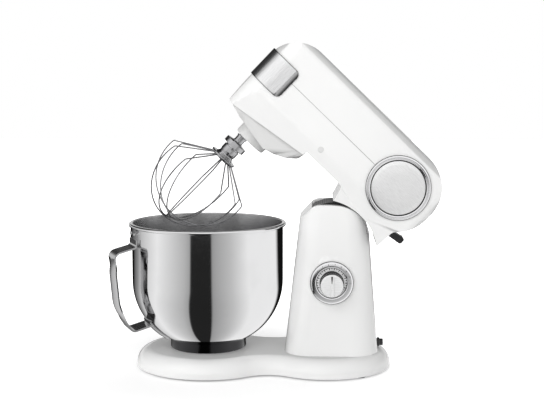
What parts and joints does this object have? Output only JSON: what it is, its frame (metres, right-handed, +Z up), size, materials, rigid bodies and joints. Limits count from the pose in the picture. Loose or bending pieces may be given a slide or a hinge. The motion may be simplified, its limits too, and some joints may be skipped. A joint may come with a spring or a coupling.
{
  "type": "stand mixer",
  "caption": "Tilt-head stand mixer with a removable steel bowl, a wire whisk on a planetary drive, a turning speed dial and a capped power outlet in the nose.",
  "frame": {"origin": "on the table under the axis of the bowl", "axes": "+Z up, the nose of the head points to -X, the speed dial faces -Y; the head is stored tilted open"},
  "size_m": [0.4582, 0.222, 0.4535],
  "materials": {
    "white_cast": "gloss",
    "grey_cast": "satin",
    "bare_alloy": "satin",
    "bowl_steel": "polished",
    "dark_steel": "polished",
    "steel": "machined",
    "chrome": "polished",
    "brushed_disc": "brushed",
    "bronze": "sintered",
    "black_plastic": "matte",
    "dark_gloss": "gloss",
    "scale_grey": "matte",
    "gear_plastic": "matte",
    "board_green": "matte",
    "laminations": "matte",
    "belt_rubber": "matte",
    "foot_rubber": "matte",
    "zinc_screw": "zinc plated"
  },
  "bodies": {
    "base": {"base_casting": "white_cast", "base_plate": "black_plastic", "base_plate_screws": "zinc_screw", "rubber_feet": "foot_rubber", "bowl_seat_ring": "bare_alloy", "bowl_seat_screws": "zinc_screw", "column_shell": "white_cast", "column_bolts": "zinc_screw", "hinge_drum": "black_plastic", "hinge_pin": "steel", "dial_bezel": "bare_alloy", "dial_scale": "scale_grey", "speed_switch": "black_plastic", "control_board": "board_green", "cord_inlet": "black_plastic"},
    "dial": {"dial_knob": "dark_gloss", "dial_face": "brushed_disc", "dial_spindle": "steel"},
    "head": {"head_top_cover": "white_cast", "head_lower_shell": "white_cast", "side_plugs": "grey_cast", "medallion_rings": "chrome", "medallion_discs": "brushed_disc", "head_chassis": "bare_alloy", "hinge_bushes": "bronze", "latch_pin": "steel", "latch_spring": "steel", "gearbox_housing": "grey_cast", "gearbox_bridge": "bare_alloy", "motor_end_plate": "bare_alloy", "ball_bearings": "steel", "ring_gear": "steel", "motor_stator": "laminations", "drive_belt": "belt_rubber", "outlet_collar": "bare_alloy"},
    "motor": {"motor_armature": "steel", "cooling_fan": "black_plastic", "motor_pulley": "bare_alloy"},
    "layshaft": {"layshaft": "steel", "layshaft_pulley": "bare_alloy", "layshaft_gear": "steel"},
    "planetary": {"planetary_hub": "grey_cast", "spindle_gear": "gear_plastic"},
    "beater": {"beater_shaft": "steel", "beater_cross_pin": "steel", "beater_pinion": "steel"},
    "outlet": {"outlet_shaft": "steel", "outlet_pinion": "steel"},
    "whisk": {"whisk_hub": "dark_steel", "whisk_collar": "dark_steel", "whisk_wires": "bowl_steel"},
    "lever": {"release_lever": "black_plastic"},
    "bowl": {"bowl_shell": "bowl_steel", "bowl_foot_ring": "dark_steel", "bowl_handle": "bowl_steel", "handle_rivets": "steel"},
    "cap": {"nose_cap": "chrome"}
  },
  "joints": [
    {"name": "head_tilt", "type": "hinge", "parent": "base", "child": "head", "pos_m": [0.178, 0, 0.185], "axis": [0, 1, 0], "range_deg": [-44, 0]},
    {"name": "release_lever", "type": "hinge", "parent": "head", "child": "lever", "pos_m": [0.2431, 0, 0.20346], "axis": [0, 1, 0], "range_deg": [0, 12], "stiffness_Nm_per_rad": 0.6, "springref_deg": -6.88},
    {"name": "dial_turn", "type": "hinge", "parent": "base", "child": "dial", "pos_m": [0.175, -0.06, 0.1295], "axis": [0, -1, 0], "range_deg": [-110, 110]},
    {"name": "bowl_lift", "type": "slide", "parent": "base", "child": "bowl", "axis": [0, 0, 1], "range_m": [0, 0.06]},
    {"name": "cap_pull", "type": "slide", "parent": "head", "child": "cap", "axis": [-0.7193, 0, 0.6947], "range_m": [0, 0.06]},
    {"name": "planetary_spin", "type": "hinge", "parent": "head", "child": "planetary", "pos_m": [0.07253, 0, 0.33203], "axis": [0.6947, 0, 0.7193], "continuous": true},
    {"name": "beater_spin", "type": "hinge", "parent": "planetary", "child": "beater", "pos_m": [0.06775, 0, 0.34291], "axis": [0.6947, 0, 0.7193], "continuous": true},
    {"name": "layshaft_spin", "type": "hinge", "parent": "head", "child": "layshaft", "pos_m": [0.16638, 0, 0.36443], "axis": [0.6947, 0, 0.7193], "continuous": true},
    {"name": "motor_spin", "type": "hinge", "parent": "head", "child": "motor", "pos_m": [0.2169, 0, 0.26559], "axis": [0.6947, 0, 0.7193], "continuous": true},
    {"name": "outlet_spin", "type": "hinge", "parent": "head", "child": "outlet", "pos_m": [0.12498, 0, 0.38634], "axis": [0.7193, 0, -0.6947], "continuous": true},
    {"name": "whisk_pull", "type": "slide", "parent": "beater", "child": "whisk", "axis": [-0.6947, 0, -0.7193], "range_m": [0, 0.025]}
  ],
  "couplings": [
    {"joint": "beater_spin", "follows": "planetary_spin", "ratio": -2.5714},
    {"joint": "layshaft_spin", "follows": "planetary_spin", "ratio": -3.2857},
    {"joint": "motor_spin", "follows": "planetary_spin", "ratio": -9.2},
    {"joint": "outlet_spin", "follows": "planetary_spin", "ratio": 3}
  ]
}
